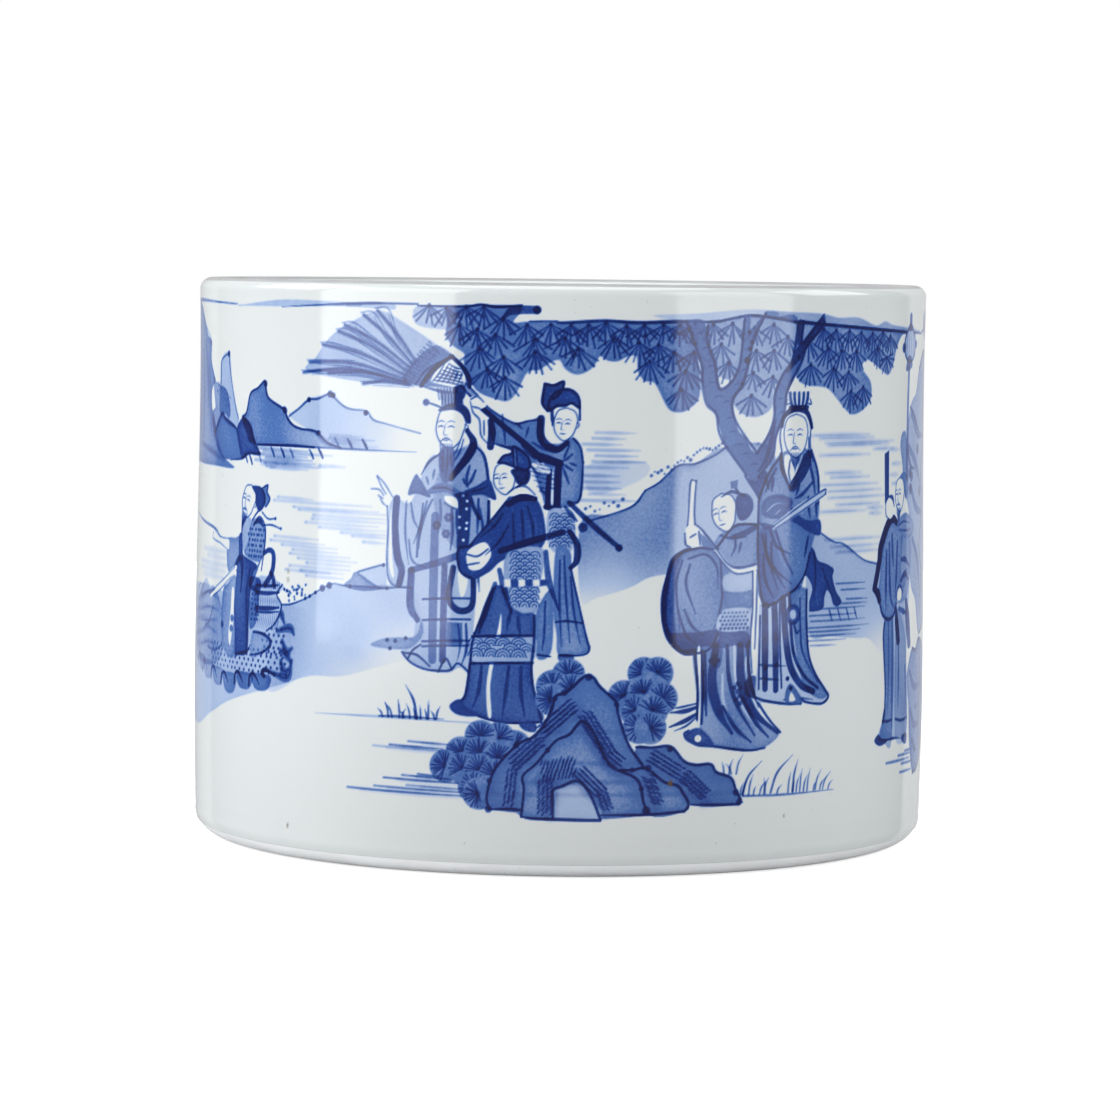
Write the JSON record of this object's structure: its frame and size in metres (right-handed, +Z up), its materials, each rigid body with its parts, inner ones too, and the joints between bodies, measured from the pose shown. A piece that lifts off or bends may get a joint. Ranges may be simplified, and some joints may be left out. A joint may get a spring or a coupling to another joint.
{
  "type": "brush pot",
  "caption": "Cylindrical porcelain brush pot with a slightly waisted wall, rounded lip, broad bare foot ring and an underglaze-blue landscape with figures.",
  "frame": {"origin": "centre of the face that the pot stands on", "axes": "+Z up the pot's axis, towards the mouth; -Y is the side with the painted scene's middle"},
  "size_m": [0.1916, 0.1916, 0.1448],
  "materials": {
    "biscuit_porcelain": "bare fired porcelain, fine and matt, faintly warm",
    "painted_glaze": "clear bluish-white glaze, glossy, over cobalt-blue painting",
    "clear_glaze": "clear bluish-white glaze, glossy, unpainted"
  },
  "bodies": {
    "root": {"thrown_wall": "biscuit_porcelain", "base_disc": "biscuit_porcelain", "outer_glaze": "painted_glaze", "inner_glaze": "clear_glaze", "well_glaze": "clear_glaze"}
  },
  "joints": []
}
